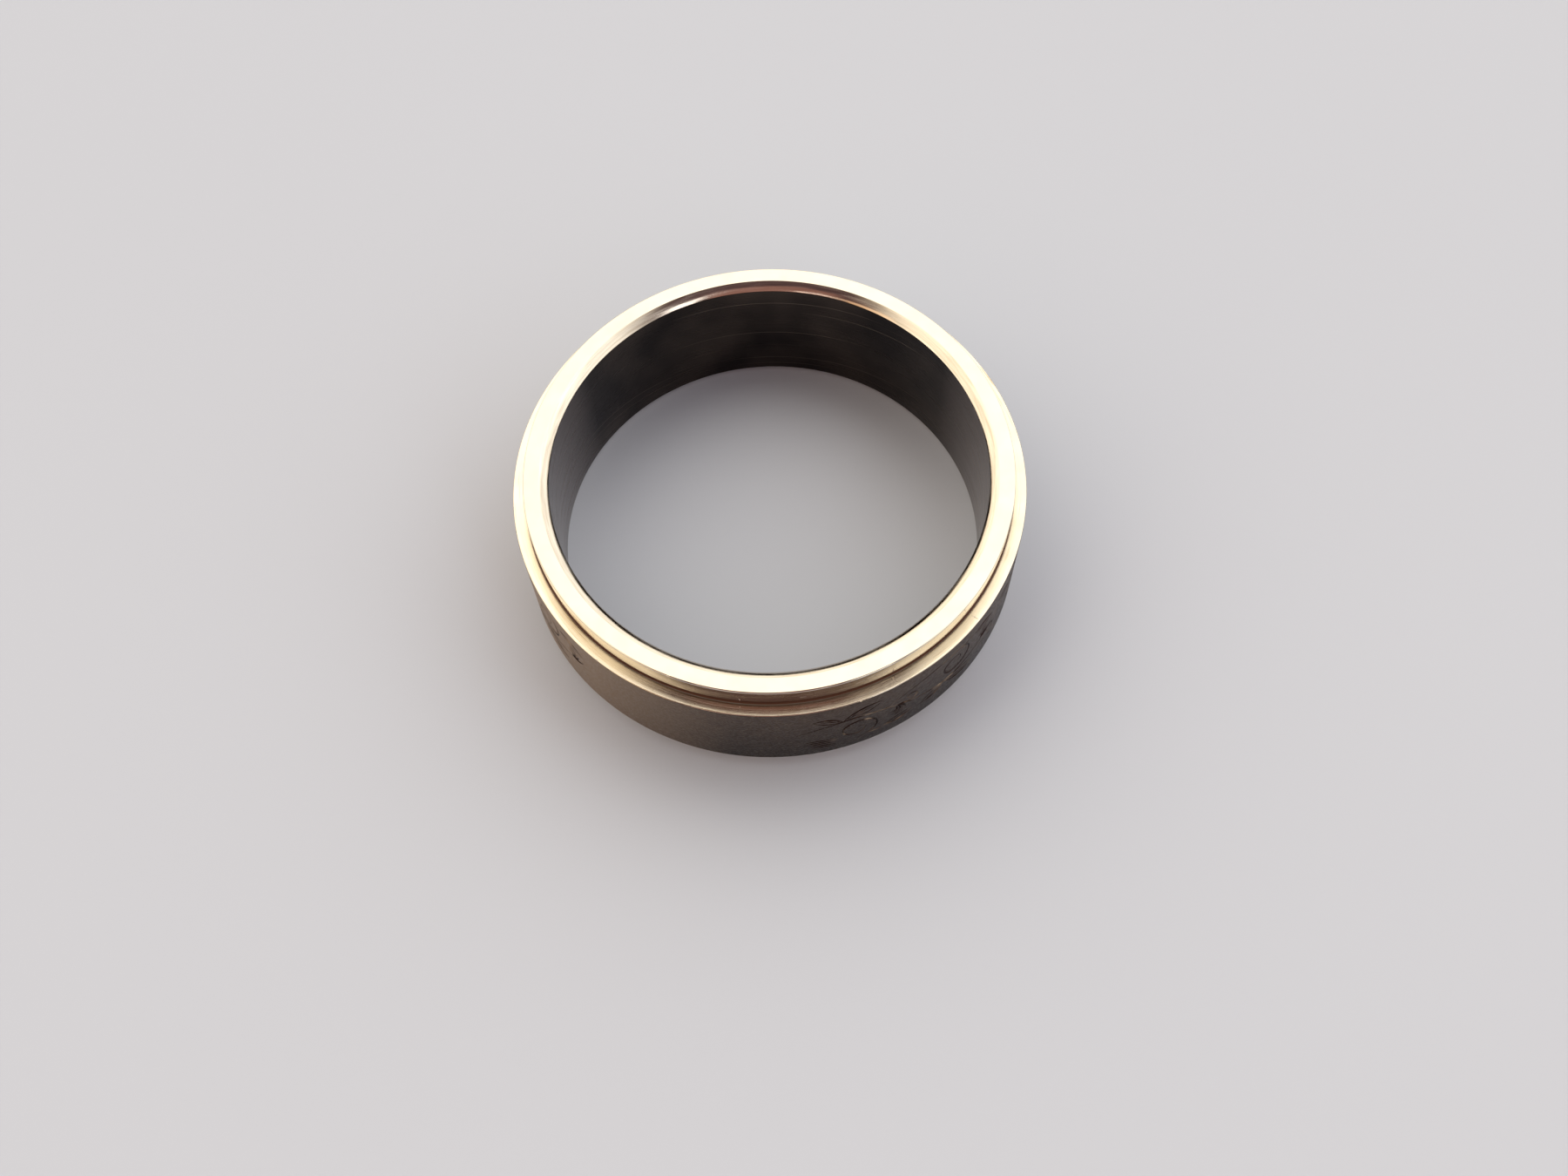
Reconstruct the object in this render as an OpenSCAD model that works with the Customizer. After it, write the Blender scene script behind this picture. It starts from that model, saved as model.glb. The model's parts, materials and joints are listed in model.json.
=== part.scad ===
// Spinner ring: a polished inner band with a rim at each end, and a loose outer band
// that turns in the channel between the rims. It lies on one rim, with its axis up,
// and its origin is the middle of the face that it lies on.

/* [Inner band] */
// Diameter of the finger hole
bore_d = 19.6; // [14:0.1:24]
// Wall of the inner band under the channel
channel_wall = 0.6; // [0.3:0.05:1]
// How far a rim stands above the floor of the channel
rim_step = 0.5; // [0.35:0.05:1]
// Height of each rim along the axis
rim_h = 0.9; // [0.7:0.05:2]

/* [Spinner] */
// Wall of the spinner
spinner_wall = 1.05; // [0.7:0.05:2]
// Height of the spinner along the axis
spinner_h = 4.85; // [2:0.05:8]

/* [Clearances] */
// Radial clearance between the spinner and the floor of the channel
running_gap = 0.05; // [0.02:0.01:0.1]
// Gap under the spinner, over the rim that it rides on
lower_gap = 0.03; // [0.02:0.01:0.2]
// Gap over the spinner, which is its end play
upper_gap = 0.12; // [0.02:0.01:0.3]

/* [Edges] */
// Width of the rounded mouth of the finger hole, measured across the rim's face
mouth_w = 0.4; // [0.05:0.01:0.5]
// Depth of the rounded mouth, measured along the axis
mouth_h = 0.6; // [0.5:0.02:1]
// Rounding of the rims' outer edges
rim_edge_r = 0.06; // [0.02:0.01:0.15]
// Rounding of the edges of the channel
channel_edge_r = 0.04; // [0.02:0.01:0.1]
// Rounding of the spinner's outer edges
spinner_edge_r = 0.07; // [0.02:0.01:0.3]
// Rounding of the spinner's inner edges
spinner_bore_edge_r = 0.15; // [0.05:0.01:0.3]

/* [Hidden] */
$fn = 120;

// How far a cutter reaches past the metal
slack = 0.5;

bore_r = bore_d / 2;
channel_r = bore_r + channel_wall;
rim_r = channel_r + rim_step;
channel_h = lower_gap + spinner_h + upper_gap;
band_h = rim_h + channel_h + rim_h;

spinner_bore_r = channel_r + running_gap;
spinner_r = spinner_bore_r + spinner_wall;
spinner_z = rim_h + lower_gap;

// The mouth is an arc that starts tangent to the bore and ends at the rim's face
mouth_r = (mouth_w * mouth_w + mouth_h * mouth_h) / (2 * mouth_w);

// Cuts the lower right corner of a section down to an arc of radius r
module corner_cut(r) {
    difference() {
        translate([-r, -slack])
            square([r + slack, r + slack]);
        translate([-r, r])
            circle(r);
    }
}

// The same for a lower left corner
module left_corner_cut(r) {
    mirror([1, 0])
        corner_cut(r);
}

// Repeats a cut at the other end of a section of height h
module both_ends(h) {
    children();
    translate([0, h])
        mirror([0, 1])
            children();
}

// Cuts the mouth of the bore
module mouth_cut() {
    difference() {
        translate([bore_r - slack, -slack])
            square([slack + mouth_w, slack + mouth_h]);
        translate([bore_r + mouth_r, mouth_h])
            circle(mouth_r);
    }
}

// Section of the channel that holds the spinner
module channel_cut() {
    translate([channel_r, rim_h])
        square([rim_step + slack, channel_h]);
}

// The rims' outer edges: at the end face, and at the channel
module rim_cuts() {
    translate([rim_r, 0])
        corner_cut(rim_edge_r);
    translate([rim_r, rim_h])
        mirror([0, 1])
            corner_cut(channel_edge_r);
}

module inner_band() {
    color("#e6e0d2")
        rotate_extrude()
            difference() {
                translate([bore_r, 0])
                    square([rim_r - bore_r, band_h]);
                channel_cut();
                both_ends(band_h) {
                    mouth_cut();
                    rim_cuts();
                }
            }
}

module spinner() {
    color("#8b8079")
        translate([0, 0, spinner_z])
            rotate_extrude()
                difference() {
                    translate([spinner_bore_r, 0])
                        square([spinner_wall, spinner_h]);
                    both_ends(spinner_h) {
                        translate([spinner_r, 0])
                            corner_cut(spinner_edge_r);
                        translate([spinner_bore_r, 0])
                            left_corner_cut(spinner_bore_edge_r);
                    }
                }
}

inner_band();
spinner();
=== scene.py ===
# Spinner ring: a polished steel band with a loose satin outer band that turns in its channel
import json
import math
import random

import bmesh
import bpy
from mathutils import Euler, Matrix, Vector

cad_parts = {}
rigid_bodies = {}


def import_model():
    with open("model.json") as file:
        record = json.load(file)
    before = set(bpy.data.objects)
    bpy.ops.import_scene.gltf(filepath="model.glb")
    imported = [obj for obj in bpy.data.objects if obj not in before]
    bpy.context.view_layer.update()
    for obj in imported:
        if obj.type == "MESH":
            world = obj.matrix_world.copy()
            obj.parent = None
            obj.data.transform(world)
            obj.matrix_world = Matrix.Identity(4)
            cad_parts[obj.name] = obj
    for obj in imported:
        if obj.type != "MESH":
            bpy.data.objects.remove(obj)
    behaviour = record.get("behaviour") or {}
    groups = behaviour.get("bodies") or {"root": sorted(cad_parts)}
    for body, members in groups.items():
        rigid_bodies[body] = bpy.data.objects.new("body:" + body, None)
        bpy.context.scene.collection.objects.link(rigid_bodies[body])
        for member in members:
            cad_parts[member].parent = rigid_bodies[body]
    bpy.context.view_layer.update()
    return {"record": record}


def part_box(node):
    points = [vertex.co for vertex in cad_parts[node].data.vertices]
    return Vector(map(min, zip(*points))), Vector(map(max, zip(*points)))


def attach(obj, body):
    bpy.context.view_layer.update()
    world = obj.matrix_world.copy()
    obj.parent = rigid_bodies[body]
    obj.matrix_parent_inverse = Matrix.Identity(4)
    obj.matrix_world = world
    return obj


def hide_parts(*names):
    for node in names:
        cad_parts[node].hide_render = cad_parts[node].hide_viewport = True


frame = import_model()
mm = 0.001
scene = bpy.context.scene

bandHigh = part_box("inner_band")[1]
spinnerLow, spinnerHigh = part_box("spinner")
boreMount = next(m for m in frame["record"]["mounts"] if m["name"] == "finger_bore")
print("frame loaded")


def hexColour(text):
    # sRGB hex to the linear values that shaders take
    parts = [int(text[i:i + 2], 16) / 255 for i in (1, 3, 5)]
    return [c / 12.92 if c <= 0.04045 else ((c + 0.055) / 1.055) ** 2.4 for c in parts] + [1]


def addNode(tree, kind, inputs=None, **settings):
    # inputs maps a socket to a value, a hex colour, or the output that feeds it
    node = tree.nodes.new(kind)
    for name, value in settings.items():
        setattr(node, name, value)
    for socket, value in (inputs or {}).items():
        if isinstance(value, bpy.types.NodeSocket):
            tree.links.new(value, node.inputs[socket])
        elif isinstance(value, str):
            node.inputs[socket].default_value = hexColour(value)
        else:
            node.inputs[socket].default_value = value
    return node


def addObject(name, data):
    made = bpy.data.objects.new(name, data)
    scene.collection.objects.link(made)
    return made


# Camera, at the photo's angle: about 60 degrees above the ring, from the front
cameraSetup = {
    "lens": 35.9,
    "sensor": 36,
    "place": (0.49, -35.86, 66.25),  # mm, from the middle of the face that the ring lies on
    "lookDown": 63.37,
    "roll": -1.9,
}
cameraData = bpy.data.cameras.new("camera")
cameraData.lens = cameraSetup["lens"]
cameraData.sensor_width = cameraSetup["sensor"]
cameraData.clip_start = mm
camera = addObject("camera", cameraData)
camera.location = Vector(cameraSetup["place"]) * mm
tilt = Euler((math.radians(90 - cameraSetup["lookDown"]), 0, 0)).to_matrix()
turn = Euler((0, 0, math.radians(cameraSetup["roll"]))).to_matrix()
camera.rotation_euler = (tilt @ turn).to_euler()
scene.camera = camera

# Materials
spread = {"From Min": 0.35, "From Max": 0.65}  # nearly all of a noise lies between these
evenNoise = {"Detail": 2, "Roughness": 0.55}


def steelMaterial(name, colour, roughness):
    # The material, its tree and shader, and the place of a point on the piece
    made = bpy.data.materials.new(name)
    made.use_nodes = True
    tree = made.node_tree
    shader = tree.nodes["Principled BSDF"]
    shader.inputs["Metallic"].default_value = 1
    shader.inputs["Base Color"].default_value = hexColour(colour)
    shader.inputs["Roughness"].default_value = roughness
    return made, tree, shader, addNode(tree, "ShaderNodeTexCoord").outputs["Object"]


def outFromAxis(tree, where):
    # The way from the ring's axis to a point
    return addNode(tree, "ShaderNodeVectorMath", {0: where, 1: (1, 1, 0)}, operation="MULTIPLY").outputs[0]


def radiusAt(tree, where):
    reach = addNode(tree, "ShaderNodeVectorMath", {0: outFromAxis(tree, where)}, operation="LENGTH")
    return reach.outputs["Value"]


def streaks(tree, where, along, across, detail=2, axis="z", tilt=0):
    # Noise drawn out round the ring: it changes every `across` mm along the axis or the radius, and
    # every `along` mm round the ring
    if axis == "radius":
        part = addNode(tree, "ShaderNodeSeparateXYZ", {0: where})
        flat = {"X": part.outputs["X"], "Y": part.outputs["Y"], "Z": radiusAt(tree, where)}
        where = addNode(tree, "ShaderNodeCombineXYZ", flat).outputs[0]
    if tilt:
        turned = {"Vector": where, "Rotation": (math.radians(tilt), 0, 0)}
        where = addNode(tree, "ShaderNodeMapping", turned).outputs[0]
    scale = (1 / (along * mm), 1 / (along * mm), 1 / (across * mm))
    drawnOut = addNode(tree, "ShaderNodeMapping", {"Vector": where, "Scale": scale})
    return addNode(tree, "ShaderNodeTexNoise", {"Vector": drawnOut.outputs[0], "Scale": 1, "Detail": detail,
                                                "Roughness": 0.6}).outputs["Fac"]


# 316L stainless steel, mirror polished on a wheel: a warm bright mirror with hairlines from wear. Real
# hairlines are about 0.02 mm wide, and they are drawn at 0.05 mm to show
polished, tree, shader, where = steelMaterial("polished_316L_rims", "#ddd2c2", 0.1)
sheen = addNode(tree, "ShaderNodeMapRange", {"Value": streaks(tree, where, along=6, across=0.05), **spread,
                                             "To Min": 0.05, "To Max": 0.13})
tree.links.new(sheen.outputs["Result"], shader.inputs["Roughness"])
blotches = addNode(tree, "ShaderNodeTexNoise", {"Vector": where, "Scale": 1 / (1.2 * mm), **evenNoise})
share = addNode(tree, "ShaderNodeMapRange", {"Value": blotches.outputs["Fac"], **spread})
tint = addNode(tree, "ShaderNodeMix", {"Factor": share.outputs["Result"], "A": "#dad0bf", "B": "#e0d6c6"},
               data_type="RGBA")
tree.links.new(tint.outputs["Result"], shader.inputs["Base Color"])
hairlines = addNode(tree, "ShaderNodeBump", {"Height": streaks(tree, where, along=8, across=0.06, detail=3),
                                             "Strength": 0.35, "Distance": 0.004 * mm})
tree.links.new(hairlines.outputs[0], shader.inputs["Normal"])

# The mouths of the bore, worn by use: the same mirror, softened, with short streaks along the round
worn, tree, shader, where = steelMaterial("worn_316L_mouth", "#dccfbe", 0.16)
rubs = streaks(tree, where, along=2.5, across=0.09, detail=3)
sheen = addNode(tree, "ShaderNodeMapRange", {"Value": rubs, **spread, "To Min": 0.1, "To Max": 0.24})
tree.links.new(sheen.outputs["Result"], shader.inputs["Roughness"])
share = addNode(tree, "ShaderNodeMapRange", {"Value": rubs, **spread})
tint = addNode(tree, "ShaderNodeMix", {"Factor": share.outputs["Result"], "A": "#cdc0af", "B": "#e8decf"},
               data_type="RGBA")
tree.links.new(tint.outputs["Result"], shader.inputs["Base Color"])
rubsAndPaintedShade = addNode(tree, "ShaderNodeBump", {"Height": rubs, "Strength": 0.4, "Distance": 0.008 * mm})
tree.links.new(rubsAndPaintedShade.outputs[0], shader.inputs["Normal"])

# The same steel in the bore, buffed along the round, with a few long scratches that run aslant. Its dark
# colours are a painted dark reflection, painted lighter towards the two sides as a painted reflection.
# Real scratches are 0.02 mm wide, and they are drawn at 0.06 mm to show
bore, tree, shader, where = steelMaterial("buffed_316L_bore", "#5b514b", 0.16)
sheen = addNode(tree, "ShaderNodeMapRange", {"Value": streaks(tree, where, along=5, across=0.12, detail=3),
                                             **spread, "To Min": 0.14, "To Max": 0.3})
tree.links.new(sheen.outputs["Result"], shader.inputs["Roughness"])
clouds = addNode(tree, "ShaderNodeTexNoise", {"Vector": where, "Scale": 1 / (4 * mm), **evenNoise})
share = addNode(tree, "ShaderNodeMapRange", {"Value": clouds.outputs["Fac"], "From Min": 0.35,
                                             "From Max": 0.7})
# Painted reflection: these dark colours stand in for a dark reflection
clouded = addNode(tree, "ShaderNodeMix", {"Factor": share.outputs["Result"], "A": "#272120",
                                          "B": "#50463f"}, data_type="RGBA")
part = addNode(tree, "ShaderNodeSeparateXYZ", {0: where})
# Painted reflection: the bore is painted lighter towards its two sides, past 8.2 mm out along X
sideways = addNode(tree, "ShaderNodeMath", {0: part.outputs["X"]}, operation="ABSOLUTE")
sheenAtSides = addNode(tree, "ShaderNodeMapRange", {"Value": sideways.outputs[0], "From Min": 8.2 * mm,
                                               "From Max": 9.8 * mm})
paintedSideSheen = addNode(tree, "ShaderNodeMix", {"Factor": sheenAtSides.outputs["Result"],
                                         "A": clouded.outputs["Result"], "B": "#8c837f"}, data_type="RGBA")
scratchNoise = streaks(tree, where, along=16, across=0.06, detail=0, tilt=11)
scratches = addNode(tree, "ShaderNodeMapRange", {"Value": scratchNoise, "From Min": 0.79, "From Max": 0.83,
                                                 "To Max": 0.22})
patchNoise = addNode(tree, "ShaderNodeTexNoise", {"Vector": where, "Scale": 1 / (8 * mm), "Detail": 0,
                                                  "Roughness": 0.55})
patches = addNode(tree, "ShaderNodeMapRange", {"Value": patchNoise.outputs["Fac"], "From Min": 0.48,
                                               "From Max": 0.6})
fewer = addNode(tree, "ShaderNodeMath", {0: scratches.outputs["Result"], 1: patches.outputs["Result"]},
                operation="MULTIPLY")
scored = addNode(tree, "ShaderNodeMix", {"Factor": fewer.outputs[0], "A": paintedSideSheen.outputs["Result"],
                                         "B": "#b9a994"}, data_type="RGBA")
tree.links.new(scored.outputs["Result"], shader.inputs["Base Color"])
buffLines = addNode(tree, "ShaderNodeBump", {"Height": streaks(tree, where, along=6, across=0.1, detail=3),
                                             "Strength": 0.3, "Distance": 0.008 * mm})
tree.links.new(buffLines.outputs[0], shader.inputs["Normal"])

# The spinner's end faces, turned and then polished: their fine rings spread what they mirror in and out,
# and along the gap under the rim they turn brown and are not metal
ends, tree, shader, where = steelMaterial("polished_316L_ends", "#e2d8c8", 0.2)
outward = addNode(tree, "ShaderNodeVectorTransform", {0: outFromAxis(tree, where)}, vector_type="VECTOR",
                  convert_from="OBJECT", convert_to="WORLD")
tree.links.new(outward.outputs[0], shader.inputs["Tangent"])
shader.inputs["Anisotropic"].default_value = 0.8
turned = streaks(tree, where, along=6, across=0.05, axis="radius")
sheen = addNode(tree, "ShaderNodeMapRange", {"Value": turned, **spread, "To Min": 0.15, "To Max": 0.27})
tree.links.new(sheen.outputs["Result"], shader.inputs["Roughness"])
blotches = addNode(tree, "ShaderNodeTexNoise", {"Vector": where, "Scale": 1 / (1.5 * mm), **evenNoise})
share = addNode(tree, "ShaderNodeMapRange", {"Value": blotches.outputs["Fac"], **spread})
tint = addNode(tree, "ShaderNodeMix", {"Factor": share.outputs["Result"], "A": "#dcd1be", "B": "#e6dccb"},
               data_type="RGBA")
turningNoise = streaks(tree, where, along=3, across=0.07, detail=1, axis="radius")
turningLines = addNode(tree, "ShaderNodeMapRange", {"Value": turningNoise, "From Min": 0.64,
                                                    "From Max": 0.7, "To Max": 0.55})
lined = addNode(tree, "ShaderNodeMix", {"Factor": turningLines.outputs["Result"],
                                        "A": tint.outputs["Result"], "B": "#a98f6d"}, data_type="RGBA")
# Brown and not metal out to 10.98 mm from the axis, just past the rim's edge, along the gap
outFromGap = addNode(tree, "ShaderNodeMapRange", {"Value": radiusAt(tree, where), "From Min": 10.91 * mm,
                                             "From Max": 10.98 * mm})
brownAtGap = addNode(tree, "ShaderNodeMix", {"Factor": outFromGap.outputs["Result"], "A": "#7a5546",
                                        "B": lined.outputs["Result"]}, data_type="RGBA")
tree.links.new(brownAtGap.outputs["Result"], shader.inputs["Base Color"])
tree.links.new(outFromGap.outputs["Result"], shader.inputs["Metallic"])
swirls = streaks(tree, where, along=3, across=0.12, axis="radius")
waves = addNode(tree, "ShaderNodeBump", {"Height": swirls, "Strength": 0.4, "Distance": 0.006 * mm})
tree.links.new(waves.outputs[0], shader.inputs["Normal"])

# Bead blasted side: overlapping dents, a dull brown grey satin. Its dark browns are a painted dark
# reflection, with painted shade darker towards the lower edge, painted light on one side, and pale specks
# painted in as glints. Real dents are about 0.05 mm wide, and they are drawn at 0.085 mm to show
satin, tree, shader, where = steelMaterial("blasted_316L_side", "#82776f", 0.42)
fine = addNode(tree, "ShaderNodeTexNoise", {"Vector": where, "Scale": 1 / (0.12 * mm), **evenNoise})
sheen = addNode(tree, "ShaderNodeMapRange", {"Value": fine.outputs["Fac"], **spread, "To Min": 0.34,
                                             "To Max": 0.5})
tree.links.new(sheen.outputs["Result"], shader.inputs["Roughness"])
mottleNoise = addNode(tree, "ShaderNodeTexNoise", {"Vector": where, "Scale": 1 / (0.5 * mm), "Detail": 4,
                                                   "Roughness": 0.55})
mottle = addNode(tree, "ShaderNodeMapRange", {"Value": mottleNoise.outputs["Fac"], **spread})
# Painted shade: the darker pair is for the lower edge, the lighter pair for higher up
paintedShadeBelow = addNode(tree, "ShaderNodeMix", {"Factor": mottle.outputs["Result"], "A": "#271f1b", "B": "#312722"},
                data_type="RGBA")
above = addNode(tree, "ShaderNodeMix", {"Factor": mottle.outputs["Result"], "A": "#493b33", "B": "#56473c"},
                data_type="RGBA")
part = addNode(tree, "ShaderNodeSeparateXYZ", {0: where})
height = addNode(tree, "ShaderNodeMapRange", {"Value": part.outputs["Z"], "From Min": 0.9 * mm,
                                              "From Max": 5 * mm})
rubsAndPaintedShade = addNode(tree, "ShaderNodeMix", {"Factor": height.outputs["Result"], "A": paintedShadeBelow.outputs["Result"],
                                         "B": above.outputs["Result"]}, data_type="RGBA")
# Painted light: lighter and warmer towards -X, fading out by -2 mm
paintedLightOnOneSide = addNode(tree, "ShaderNodeMapRange", {"Value": part.outputs["X"], "From Min": -8 * mm,
                                                 "From Max": -2 * mm, "To Min": 0.95, "To Max": 0})
paintedLightPatch = addNode(tree, "ShaderNodeMix", {"Factor": paintedLightOnOneSide.outputs["Result"],
                                          "A": rubsAndPaintedShade.outputs["Result"], "B": "#9c846c"}, data_type="RGBA")
dents = addNode(tree, "ShaderNodeTexVoronoi", {"Vector": where, "Scale": 1 / (0.085 * mm)})
dentChance = addNode(tree, "ShaderNodeSeparateColor", {0: dents.outputs["Color"]})
# Painted highlights: a few dents are painted pale, as glints
paintedGlintShare = addNode(tree, "ShaderNodeMapRange", {"Value": dentChance.outputs["Red"], "From Min": 0.8,
                                               "To Max": 0.09})
paintedGlintSpecks = addNode(tree, "ShaderNodeMix", {"Factor": paintedGlintShare.outputs["Result"],
                                         "A": paintedLightPatch.outputs["Result"], "B": "#cdb79c"}, data_type="RGBA")
tree.links.new(paintedGlintSpecks.outputs["Result"], shader.inputs["Base Color"])
dented = addNode(tree, "ShaderNodeBump", {"Height": dents.outputs["Distance"], "Strength": 0.5,
                                          "Distance": 0.02 * mm})
tree.links.new(dented.outputs[0], shader.inputs["Normal"])

# Graved lines, darkened by heat and dirt, with bare steel where the graver cut clean
graved, tree, shader, where = steelMaterial("graved_burnt_lines", "#3a2a22", 0.45)
blotches = addNode(tree, "ShaderNodeTexNoise", {"Vector": where, "Scale": 1 / (1.1 * mm), **evenNoise})
cutClean = addNode(tree, "ShaderNodeMapRange", {"Value": blotches.outputs["Fac"], "From Min": 0.52,
                                                "From Max": 0.66})
burnt = addNode(tree, "ShaderNodeMix", {"Factor": cutClean.outputs["Result"], "A": "#2a1811",
                                        "B": "#8e7c6a"}, data_type="RGBA")
tree.links.new(burnt.outputs["Result"], shader.inputs["Base Color"])

# Bare steel in the nicks, torn rough, so that it catches light from all sides and shows as a pale speck
scuffed, tree, shader, where = steelMaterial("bare_steel_nicks", "#f4ece0", 0.5)
torn = addNode(tree, "ShaderNodeTexNoise", {"Vector": where, "Scale": 1 / (0.05 * mm), **evenNoise})
sheen = addNode(tree, "ShaderNodeMapRange", {"Value": torn.outputs["Fac"], **spread, "To Min": 0.4,
                                             "To Max": 0.6})
tree.links.new(sheen.outputs["Result"], shader.inputs["Roughness"])
print("materials made")

# Turning, for both pieces
turning = {
    "steps": 384,  # round the ring
    "edgeSegments": 8,
    "merge": 1e-7,
    "sharpFrom": 20,  # degrees between faces from which an edge stays crisp
    "areaWeight": 90,
}


def turnSection(name, corners, finish):
    # corners are (radius, height, rounding) in mm, in order round the section
    bm = bmesh.new()
    verts = [bm.verts.new((r * mm, 0, z * mm)) for r, z, _ in corners]
    bm.faces.new(verts)
    for vert, (_, _, rounding) in zip(verts, corners):
        if rounding:
            bmesh.ops.bevel(bm, geom=[vert], offset=rounding * mm, segments=turning["edgeSegments"],
                            profile=0.5, affect="VERTICES", clamp_overlap=False, material=-1)
    bmesh.ops.delete(bm, geom=bm.faces[:], context="FACES_ONLY")
    bmesh.ops.spin(bm, geom=bm.verts[:] + bm.edges[:], cent=(0, 0, 0), axis=(0, 0, 1),
                   angle=2 * math.pi, steps=turning["steps"], use_merge=True)
    bmesh.ops.remove_doubles(bm, verts=bm.verts[:], dist=turning["merge"])
    bmesh.ops.recalc_face_normals(bm, faces=bm.faces[:])
    for face in bm.faces:
        face.smooth = True
        face.material_index = finish(face)
    mesh = bpy.data.meshes.new(name)
    bm.to_mesh(mesh)
    bm.free()
    return addObject(name, mesh)


# Inner band
band = {
    "rimRadius": bandHigh.x / mm,
    "height": bandHigh.z / mm,
    "boreRadius": boreMount["dims"]["r_mm"],
    "channelWall": 0.6,
    "rimHeight": 0.9,
    # Corners of the mouth: out from the bore, in from the end, rounding
    "mouth": [(0, 0.321, 0.02), (0.153, 0.103, 0.24), (0.4, 0, 0.02)],
    "rimEdge": 0.06,
    "channelEdge": 0.04,
    "boreFinish": 0.012,  # how far out from the bore a face still has the bore's finish
    "rimFinish": 0.38,  # and from where it has the rims'
}


def bandEnd(flip):
    # The lower end's corners from the bore to the channel's floor, or the upper end's if flipped
    rows = [(band["boreRadius"] + out, up, rounding) for out, up, rounding in band["mouth"]] + [
        (band["rimRadius"], 0, band["rimEdge"]),
        (band["rimRadius"], band["rimHeight"], band["channelEdge"]),
        (band["boreRadius"] + band["channelWall"], band["rimHeight"], 0),
    ]
    return [(r, band["height"] - z, e) for r, z, e in reversed(rows)] if flip else rows


def bandFinish(face):
    # 0 for the rims and the channel, 1 for the bore, 2 for its mouths
    centre = face.calc_center_median()
    fromBore = math.hypot(centre.x, centre.y) / mm - band["boreRadius"]
    if fromBore < band["boreFinish"]:
        return 1
    return 2 if fromBore < band["rimFinish"] else 0


innerBand = turnSection("inner_band_polished", bandEnd(False) + bandEnd(True), bandFinish)
for finish in (polished, bore, worn):
    innerBand.data.materials.append(finish)
print("inner band turned")

# Spinner
spinner = {
    "radius": spinnerHigh.x / mm,
    "low": spinnerLow.z / mm,
    "high": spinnerHigh.z / mm,
    "wall": 1.05,
    "edge": 0.07,
    "boreEdge": 0.15,
    "dish": 0.15,  # how far an end face falls towards the bore
    "endTilt": 0.5,  # a face whose normal has more than this up or down is an end face
}


def spinnerEnd(z, inward):
    # One end face, from the bore out
    return [(spinner["radius"] - spinner["wall"], z + inward * spinner["dish"], spinner["boreEdge"]),
            (spinner["radius"], z, spinner["edge"])]


def spinnerFinish(face):
    # 0 for the side and the inside, 1 for the end faces
    return 1 if abs(face.normal.z) > spinner["endTilt"] else 0


spinnerCorners = spinnerEnd(spinner["low"], 1) + spinnerEnd(spinner["high"], -1)[::-1]
spinnerRing = turnSection("spinner_engraved", spinnerCorners, spinnerFinish)
for finish in (satin, ends, graved):
    spinnerRing.data.materials.append(finish)
print("spinner turned")

# Engraving: a running vine with curls and leaves, drawn flat in mm and wrapped round the side. It is
# drawn a half wave at a time. Places run along the side from the crest of the half wave and across it
# from the middle, towards the crest, and leans are in radians
vine = {
    "begin": -86,  # degrees round the side; the stretch up to here is plain
    "end": 222,
    "waves": 6,
    "swing": 0.7,
    "depth": 0.5,  # of a cut, over its width
    "stand": 0.3,  # how far a cutter stands up out of the metal, over the width of its cut
    "runOut": 0.15,  # share of its width that a cut has at its ends
    "seed": 11,
}
chance = random.Random(vine["seed"])
vineLength = math.radians(vine["end"] - vine["begin"]) * spinner["radius"]
wave = vineLength / vine["waves"]
sideMiddle = (spinner["low"] + spinner["high"]) / 2
strokes = []


def engrave(points, width, peak):
    # A cut swells towards its peak and runs out at both ends, as a graver leaves it
    last = len(points) - 1
    cut = []
    for i, (u, v) in enumerate(points):
        t = i / last
        swell = t / peak if t < peak else (1 - t) / (1 - peak)
        full = vine["runOut"] + (1 - vine["runOut"]) * math.sin(swell * math.pi / 2)
        cut.append((u, v, width * full))
    strokes.append(cut)


def away(base, heading, distance):
    return (base[0] + distance * math.cos(heading), base[1] + distance * math.sin(heading))


def bow(start, end, bulge, count):
    # A bowed line whose middle stands off the straight way by the bulge
    du, dv = end[0] - start[0], end[1] - start[1]
    lift = 4 * bulge / math.hypot(du, dv)
    line = []
    for i in range(count + 1):
        t = i / count
        s = lift * t * (1 - t)
        line.append((start[0] + du * t - dv * s, start[1] + dv * t + du * s))
    return line


def curl(eye, radius, heading, turns, inner):
    # A spiral from its rim into its eye, with more points the bigger it is; negative turns wind the
    # other way, and the power keeps the outer turn wide
    count = int(24 * abs(turns) * (0.4 + 0.6 * radius))
    line = []
    for i in range(count + 1):
        t = i / count
        reach = (radius - inner) * (1 - t) ** 0.85 + inner
        line.append(away(eye, heading + 2 * math.pi * turns * t, reach))
    return line


stemShape = {
    "from": -0.27,  # waves from the crest
    "length": 0.53,  # waves
    "steps": 24,
    "stop": 0.3,  # mm before the vine's end
    "width": 0.1,
}


def stem(u):
    return vine["swing"] * math.sin(2 * math.pi * u / wave)


def drawStem(top):
    run = [top + wave * (stemShape["length"] * i / stemShape["steps"] + stemShape["from"])
           for i in range(stemShape["steps"] + 1)]
    kept = [(u, stem(u)) for u in run if 0 <= u <= vineLength - stemShape["stop"]]
    engrave(kept, stemShape["width"], peak=0.5)


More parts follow.
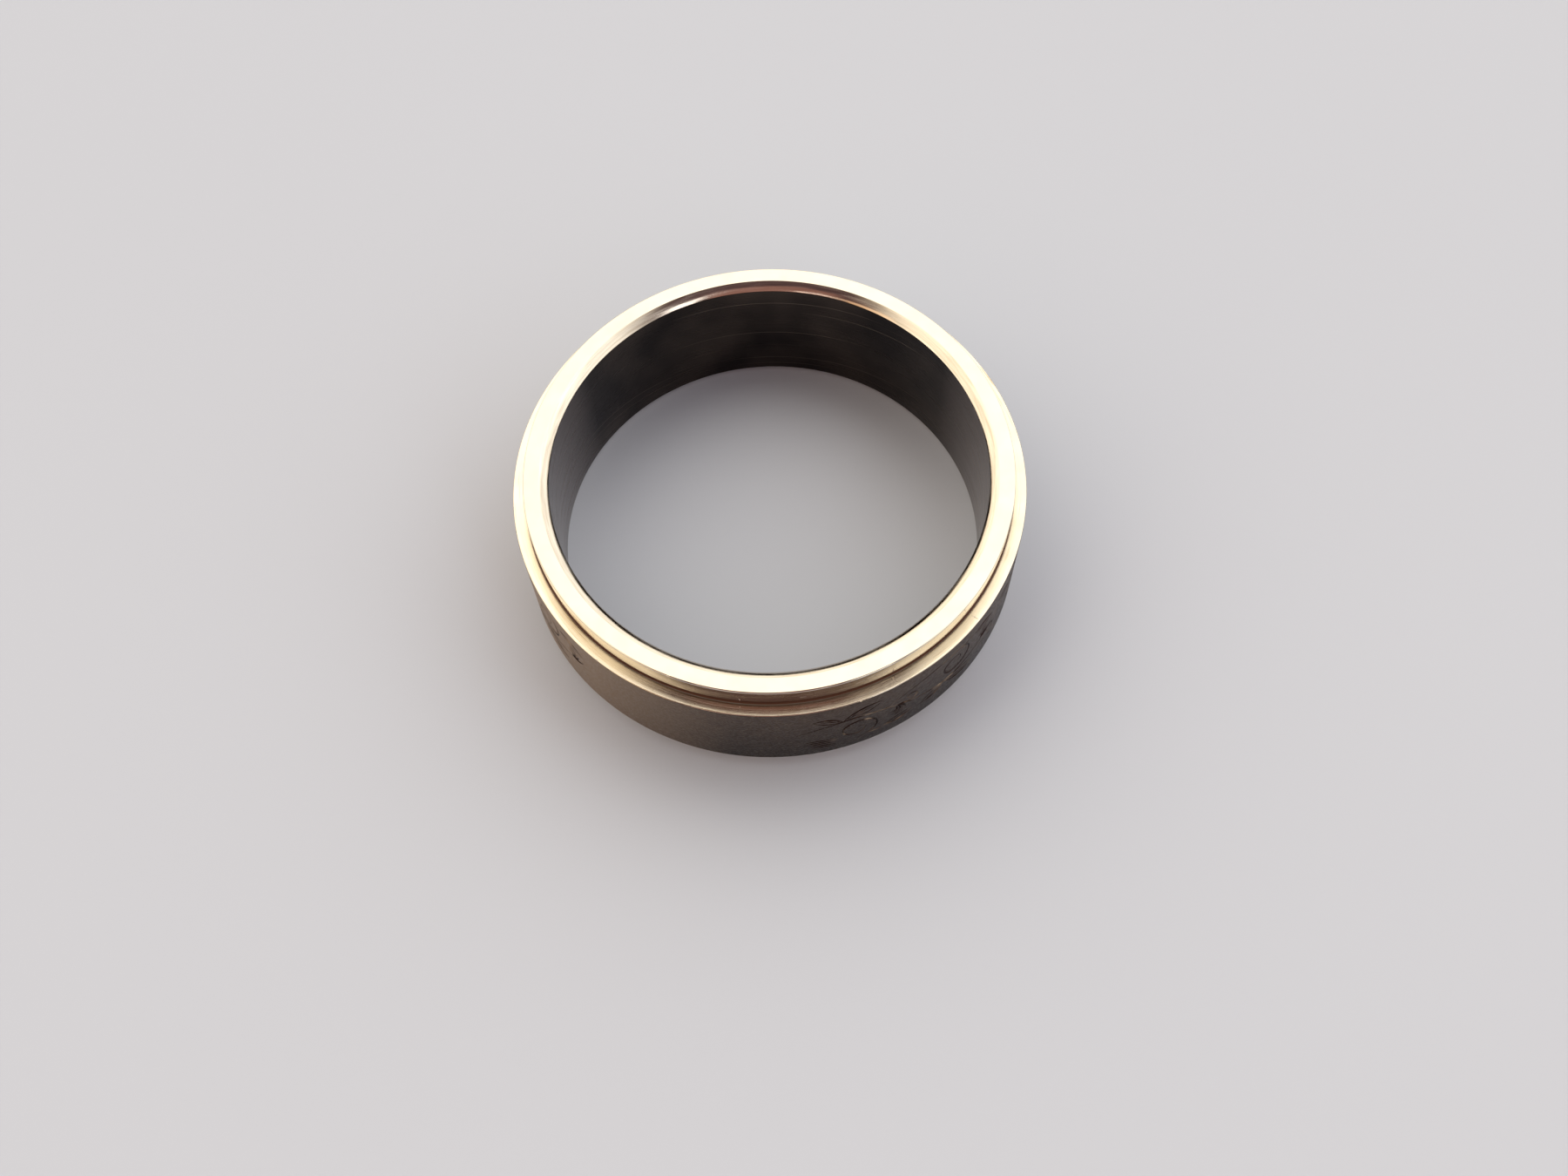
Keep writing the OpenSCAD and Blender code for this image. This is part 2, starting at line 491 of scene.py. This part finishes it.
curlShape = {
    "along": 0.15,
    "across": -0.56,
    "wobble": 0.1,
    "radius": 1.08,
    "radiusWobble": 0.05,
    "turns": 1.5,
    "inner": 0.14,
    "width": 0.11,
    "fork": 0.36,  # waves before the crest, where its stalk leaves the stem
    "stalkBow": -0.3,
}
smallCurl = {
    "along": -0.235,  # waves
    "across": -0.42,
    "radius": 0.42,
    "lean": 2.5,
    "turns": -1.2,
    "inner": 0.08,
    "width": 0.09,
}
comb = {
    "lines": 14,
    "first": 5,  # the point of the curl where it begins
    "longest": 6,  # which of the lines is the longest
    "fade": 9,  # how many lines further one would have no length
    "length": 0.3,
    "wobble": 0.05,
    "lean": 0.3,
    "bow": 0.01,
    "width": 0.06,
}


def drawCurl(top, side):
    # A big curl with a comb of short lines inside its rim, and a small one beside its stalk
    eye = (top + curlShape["along"] + chance.uniform(-curlShape["wobble"], curlShape["wobble"]),
           side * curlShape["across"])
    radius = curlShape["radius"] + chance.uniform(-curlShape["radiusWobble"], curlShape["radiusWobble"])
    spiral = curl(eye, radius, -side * math.pi / 2, side * curlShape["turns"], curlShape["inner"])
    fork = (top - wave * curlShape["fork"], stem(top - wave * curlShape["fork"]))
    if fork[0] > 0:
        stalk = bow(fork, spiral[0], side * curlShape["stalkBow"], count=14)
        engrave(stalk[:-1] + spiral, curlShape["width"], peak=0.45)
        smallEye = (top + wave * smallCurl["along"], side * smallCurl["across"])
        small = curl(smallEye, smallCurl["radius"], side * smallCurl["lean"], side * smallCurl["turns"],
                     smallCurl["inner"])
        engrave(small, smallCurl["width"], peak=0.3)
    else:
        engrave(spiral, curlShape["width"], peak=0.25)
    for j in range(comb["lines"]):
        rim = spiral[comb["first"] + j]
        inward = math.atan2(eye[1] - rim[1], eye[0] - rim[0]) + side * comb["lean"]
        length = comb["length"] * (1 - abs(j - comb["longest"]) / comb["fade"])
        length += chance.uniform(0, comb["wobble"])
        engrave(bow(rim, away(rim, inward, length), comb["bow"], count=3), comb["width"], peak=0.2)
    return spiral


leafShape = {
    "sideSteps": 12,
    "heavyWidth": 0.13,
    "fineSide": -0.7,  # bow of the fine side over that of the heavy side
    "fineWidth": 0.075,
    "ribLength": 0.78,  # share of the leaf's length
    "ribBow": 0.15,
    "ribSteps": 8,
    "ribWidth": 0.06,
    "firstVein": 0.18,  # share of the rib's length
    "veinSpan": 0.56,
    "veinLean": 0.14,
    "veinLength": 0.85,  # share of the way from the rib to the heavy side
    "veinBow": 0.03,
    "veinWidth": 0.05,
}
leaves = {
    "onCrest": {"along": -0.5, "above": 0.04, "way": 0, "lean": 0.36, "wobble": 0.08, "length": 2,
                "belly": 0.34, "veins": 4},
    "backwards": {"along": -0.55, "above": 0.02, "way": math.pi, "lean": -0.45, "wobble": 0.1,
                  "length": 1.4, "belly": -0.26, "veins": 3},
    "bud": {"way": 0, "lean": 0.22, "wobble": 0.1, "length": 1.55, "belly": -0.25, "veins": 3},
}
budStalk = {
    "from": 2,  # the point of the curl that it leaves
    "along": 0.75,
    "across": -1.42,
    "bow": -0.08,
    "width": 0.08,
}


def drawLeaf(base, side, values):
    # One heavy side, one fine side, a rib, and veins in the heavy half
    heading = values["way"] + side * values["lean"] + chance.uniform(-values["wobble"], values["wobble"])
    belly = side * values["belly"]
    tip = away(base, heading, values["length"])
    ribTip = away(base, heading, values["length"] * leafShape["ribLength"])
    heavy = bow(base, tip, belly, leafShape["sideSteps"])
    fineSide = bow(base, tip, belly * leafShape["fineSide"], leafShape["sideSteps"])
    rib = bow(base, ribTip, belly * leafShape["ribBow"], leafShape["ribSteps"])
    engrave(heavy, leafShape["heavyWidth"], peak=0.55)
    engrave(fineSide, leafShape["fineWidth"], peak=0.5)
    engrave(rib, leafShape["ribWidth"], peak=0.3)
    for k in range(values["veins"]):
        t = leafShape["firstVein"] + leafShape["veinSpan"] * k / (values["veins"] - 1)
        a = rib[int(t * leafShape["ribSteps"])]
        b = heavy[int(min(1, t + leafShape["veinLean"]) * leafShape["sideSteps"])]
        part = leafShape["veinLength"]
        end = (a[0] + (b[0] - a[0]) * part, a[1] + (b[1] - a[1]) * part)
        engrave(bow(a, end, leafShape["veinBow"], count=4), leafShape["veinWidth"], peak=0.3)


def drawLeaves(top, side, spiral):
    # Two leaves on the crest, and one on a short stalk under the curl
    for name in ("onCrest", "backwards"):
        values = leaves[name]
        drawLeaf((top + values["along"], side * (vine["swing"] + values["above"])), side, values)
    start = spiral[budStalk["from"]]
    bud = (start[0] + budStalk["along"], side * budStalk["across"])
    engrave(bow(start, bud, side * budStalk["bow"], count=6), budStalk["width"], peak=0.5)
    drawLeaf(bud, side, leaves["bud"])


blossom = {
    "along": 0.19,  # waves
    "petals": 4,
    "lean": -0.55,
    "leanStep": -0.36,
    "inner": 0.1,
    "length": 1,
    "lengthStep": -0.13,
    "bow": 0.1,
    "width": 0.17,
    "widthStep": -0.02,
}
dashes = {
    "along": 0.16,  # waves
    "alongStep": 0.07,
    "wobble": 0.08,
    "across": -0.35,
    "acrossStep": -0.16,
    "count": 4,
    "length": 0.75,
    "lengthStep": -0.08,
    "rise": 0.08,
    "bow": 0.05,
    "width": 0.07,
}


def drawBlossom(top, side):
    # A fan of petals where the stem crosses over, and dashes beside it
    joint = (top + wave * blossom["along"], stem(top + wave * blossom["along"]))
    for j in range(blossom["petals"]):
        heading = side * (blossom["lean"] + blossom["leanStep"] * j)
        tip = away(joint, heading, blossom["length"] + blossom["lengthStep"] * j)
        petal = bow(away(joint, heading, blossom["inner"]), tip, side * blossom["bow"], count=6)
        engrave(petal, blossom["width"] + blossom["widthStep"] * j, peak=0.3)
    for j in range(dashes["count"]):
        u = top + wave * dashes["along"] + dashes["alongStep"] * j + chance.uniform(0, dashes["wobble"])
        v = side * (dashes["across"] + dashes["acrossStep"] * j)
        end = (u + dashes["length"] + dashes["lengthStep"] * j, v + side * dashes["rise"])
        engrave(bow((u, v), end, side * dashes["bow"], count=6), dashes["width"], peak=0.35)


for k in range(2 * vine["waves"]):
    side = 1 if k % 2 == 0 else -1
    top = (k + 0.5) * wave / 2
    drawStem(top)
    spiral = drawCurl(top, side)
    drawLeaves(top, side, spiral)
    drawBlossom(top, side)

# Short parallel cuts where the vine begins
firstCuts = {
    "count": 5,
    "along": 0.35,
    "alongStep": 0.09,
    "across": -1,
    "acrossStep": -0.18,
    "length": 1.5,
    "lengthStep": -0.12,
    "rise": -0.1,
    "bow": 0.06,
    "width": 0.085,
}
for j in range(firstCuts["count"]):
    u = firstCuts["along"] + firstCuts["alongStep"] * j
    v = firstCuts["across"] + firstCuts["acrossStep"] * j
    end = (u + firstCuts["length"] + firstCuts["lengthStep"] * j, v + firstCuts["rise"])
    engrave(bow((u, v), end, firstCuts["bow"], count=7), firstCuts["width"], peak=0.35)
print(len(strokes), "cuts drawn")

# Every cut is a V that stands up out of the metal, scaled along the line by the cut's width. It is as
# wide as the cut where it passes the surface
graver = bpy.data.curves.new("graver", "CURVE")
wedge = graver.splines.new("POLY")
wedge.points.add(2)
halfTop = 0.5 * (vine["depth"] + vine["stand"]) / vine["depth"]
corners = ((0, -vine["depth"]), (halfTop, vine["stand"]), (-halfTop, vine["stand"]))
for point, (x, y) in zip(wedge.points, corners):
    point.co = (x * mm, y * mm, 0, 1)
wedge.use_cyclic_u = True
graverTip = addObject("graver", graver)

cutLines = bpy.data.curves.new("cuts", "CURVE")
cutLines.dimensions = "2D"
cutLines.fill_mode = "NONE"
cutLines.bevel_mode = "OBJECT"
cutLines.bevel_object = graverTip
for cut in strokes:
    spline = cutLines.splines.new("POLY")
    spline.points.add(len(cut) - 1)
    for point, (u, v, width) in zip(spline.points, cut):
        point.co = (u * mm, v * mm, 0, 1)
        point.radius = width
flatCuts = addObject("cuts", cutLines)


def shownMesh(piece):
    # The piece's mesh with its modifiers applied, or a curve made a mesh
    return bpy.data.meshes.new_from_object(piece.evaluated_get(bpy.context.evaluated_depsgraph_get()))


cutMesh = shownMesh(flatCuts)
bm = bmesh.new()
bm.from_mesh(cutMesh)
bmesh.ops.holes_fill(bm, edges=bm.edges[:], sides=3)
for vert in bm.verts:
    angle = math.radians(vine["begin"]) + vert.co.x / (spinner["radius"] * mm)
    reach = spinner["radius"] * mm + vert.co.z
    vert.co = (reach * math.cos(angle), reach * math.sin(angle), sideMiddle * mm + vert.co.y)
bmesh.ops.reverse_faces(bm, faces=bm.faces[:])
for face in bm.faces:
    face.smooth = False
bm.to_mesh(cutMesh)
bm.free()
cutMesh.materials.clear()
cutMesh.materials.append(graved)
cutter = bpy.data.objects.new("cutter", cutMesh)
cuts = bpy.data.collections.new("cuts")
scene.collection.children.link(cuts)
cuts.objects.link(cutter)
bpy.context.view_layer.objects.active = cutter
for other in bpy.context.selected_objects:
    other.select_set(False)
cutter.select_set(True)
bpy.ops.mesh.separate(type="LOOSE")  # cuts that cross would confuse the solver as one mesh


def carve(piece, **operand):
    # Takes an object, or a collection of them, out of the piece, and gives the cut faces its material
    boolean = piece.modifiers.new("carving", "BOOLEAN")
    boolean.operation = "DIFFERENCE"
    boolean.solver = "MANIFOLD"
    boolean.material_mode = "TRANSFER"
    for name, value in operand.items():
        setattr(boolean, name, value)
    carved = shownMesh(piece)
    piece.modifiers.clear()
    piece.data = carved
    print(piece.name, "carved:", len(carved.polygons), "faces")


carve(spinnerRing, operand_type="COLLECTION", collection=cuts)
for scrap in list(cuts.objects) + [flatCuts, graverTip]:
    bpy.data.objects.remove(scrap)
bpy.data.collections.remove(cuts)

# Nicks from wear, each cut by a small block: direction round the ring, radius and height in mm,
# then the block's size round, out and up, and its turn seen from outside
nicks = {
    "inner_band": [(-114, 10.9, 6.8, 0.12, 0.09, 0.09, 45), (-98, 10.9, 6.02, 0.06, 0.06, 0.16, 8),
                   (-63, 10.9, 6.05, 0.06, 0.08, 0.26, -5), (-66, 10.9, 6.38, 0.5, 0.02, 0.018, 0),
                   (-68.5, 10.9, 6.46, 0.34, 0.02, 0.016, 2), (-71, 10.9, 6.33, 0.42, 0.02, 0.018, -1),
                   (-65, 10.9, 6.27, 0.24, 0.02, 0.016, 1), (-84, 10.9, 6.2, 0.3, 0.02, 0.016, 0)],
    "spinner": [(-40, 11.22, 5.76, 0.02, 0.34, 0.06, 12), (-72, 11.49, 5.77, 0.09, 0.09, 0.09, 40),
                (-131, 11.49, 5.77, 0.08, 0.07, 0.08, 30)],
}


def cutNicks(piece, rows):
    bm = bmesh.new()
    for direction, radius, height, along, out, up, turn in rows:
        block = bmesh.ops.create_cube(bm, size=mm)["verts"]
        bmesh.ops.scale(bm, verts=block, vec=(out, along, up))
        turned = Euler((math.radians(turn), 0, 0)).to_matrix()
        bmesh.ops.rotate(bm, verts=block, cent=(0, 0, 0), matrix=turned)
        bmesh.ops.translate(bm, verts=block, vec=(radius * mm, 0, height * mm))
        placed = Euler((0, 0, math.radians(direction))).to_matrix()
        bmesh.ops.rotate(bm, verts=block, cent=(0, 0, 0), matrix=placed)
    mesh = bpy.data.meshes.new("nicks")
    bm.to_mesh(mesh)
    bm.free()
    mesh.materials.append(scuffed)
    blocks = addObject("nicks", mesh)
    carve(piece, object=blocks)
    bpy.data.objects.remove(blocks)


cutNicks(innerBand, nicks["inner_band"])
cutNicks(spinnerRing, nicks["spinner"])

for piece, body, node, slot in ((innerBand, "core", "inner_band", "polished_steel"),
                                (spinnerRing, "spinner", "spinner", "satin_steel")):
    piece.data.set_sharp_from_angle(angle=math.radians(turning["sharpFrom"]))
    weighted = piece.modifiers.new("weighted_normals", "WEIGHTED_NORMAL")
    weighted.keep_sharp = True
    weighted.weight = turning["areaWeight"]
    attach(piece, body)
    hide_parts(node)

# Studio: a plain pale floor, a wide soft light behind the ring, and a room that is dim in front
studio = {
    "floorSize": 4000,
    "floorColour": "#c6cbd8",
    "floorRoughness": 0.9,
    "roomFront": "#4c3b3d",  # the dim side that the camera stands on
    "roomLeft": "#fbf0dc",
    "roomRight": "#f2f0ea",
    "dimFrom": -0.82,  # sine of the direction round the ring, -1 straight in front
    "dimTo": -0.45,
    "lean": 0.22,  # how far the dim side reaches past straight overhead
    "roomBright": 1.65,
    "backdrop": "#a6a5a7",  # what the room shows as past the floor, before it is brightened
}
floorMesh = bpy.data.meshes.new("floor")
bm = bmesh.new()
bmesh.ops.create_grid(bm, x_segments=1, y_segments=1, size=studio["floorSize"] * mm / 2)
bm.to_mesh(floorMesh)
bm.free()
floor = addObject("floor", floorMesh)
floorMaterial = bpy.data.materials.new("pale_card_floor")
floorMaterial.use_nodes = True
floorShader = floorMaterial.node_tree.nodes["Principled BSDF"]
floorShader.inputs["Base Color"].default_value = hexColour(studio["floorColour"])
floorShader.inputs["Roughness"].default_value = studio["floorRoughness"]
floorMesh.materials.append(floorMaterial)

world = bpy.data.worlds.new("room")
world.use_nodes = True
room = world.node_tree
towards = addNode(room, "ShaderNodeTexCoord").outputs["Generated"]
sides = addNode(room, "ShaderNodeSeparateXYZ", {0: towards})
leaned = addNode(room, "ShaderNodeMath", {0: sides.outputs["Z"], 1: -studio["lean"], 2: sides.outputs["Y"]},
                 operation="MULTIPLY_ADD")
level = addNode(room, "ShaderNodeCombineXYZ", {"X": sides.outputs["X"], "Y": leaned.outputs[0]})
heading = addNode(room, "ShaderNodeVectorMath", {0: level.outputs[0]}, operation="NORMALIZE")
wayRound = addNode(room, "ShaderNodeSeparateXYZ", {0: heading.outputs[0]})
facing = addNode(room, "ShaderNodeMapRange", {"Value": wayRound.outputs["Y"], "From Min": studio["dimFrom"],
                                              "From Max": studio["dimTo"]}, interpolation_type="SMOOTHSTEP")
across = addNode(room, "ShaderNodeMapRange", {"Value": sides.outputs["X"], "From Min": -0.5,
                                              "From Max": 0.5})
bright = addNode(room, "ShaderNodeMix", {"Factor": across.outputs["Result"], "A": studio["roomLeft"],
                                         "B": studio["roomRight"]}, data_type="RGBA")
walls = addNode(room, "ShaderNodeMix", {"Factor": facing.outputs["Result"], "A": studio["roomFront"],
                                        "B": bright.outputs["Result"]}, data_type="RGBA")
seen = addNode(room, "ShaderNodeLightPath").outputs["Is Camera Ray"]
shown = addNode(room, "ShaderNodeMix", {"Factor": seen, "A": walls.outputs["Result"],
                                        "B": studio["backdrop"]}, data_type="RGBA")
background = room.nodes["Background"]
room.links.new(shown.outputs["Result"], background.inputs["Color"])
background.inputs["Strength"].default_value = studio["roomBright"]
scene.world = world

# Each light: place and size in mm, how bright it shows in a mirror, and its colour
lights = {
    "window": {"place": (30, 141, 254), "size": (680, 190), "bright": 0.45, "colour": "#fff9ea"},
    "brownCard": {"place": (-20, -330, 170), "size": (330, 330), "bright": 0.22, "colour": "#ffb8a0"},
    "warmCard": {"place": (-215, -208, 110), "size": (110, 160), "bright": 0.8, "colour": "#ffd2a0"},
    "whiteCard": {"place": (186, -262, 190), "size": (84, 150), "bright": 2.2, "colour": "#ffffff"},
    "glintCard": {"place": (-125, -305, 160), "size": (90, 40), "bright": 1.7, "colour": "#fff2e8"},
}
for name, values in lights.items():
    lightData = bpy.data.lights.new(name, "AREA")
    lightData.shape = "RECTANGLE"
    lightData.size, lightData.size_y = (s * mm for s in values["size"])
    lightData.energy = values["bright"] * math.pi * lightData.size * lightData.size_y
    lightData.color = hexColour(values["colour"])[:3]
    light = addObject(name, lightData)
    light.location = Vector(values["place"]) * mm
    light.rotation_euler = light.location.to_track_quat("Z", "Y").to_euler()
    light.visible_camera = False
scene.view_settings.view_transform = "Standard"
print("studio lit")
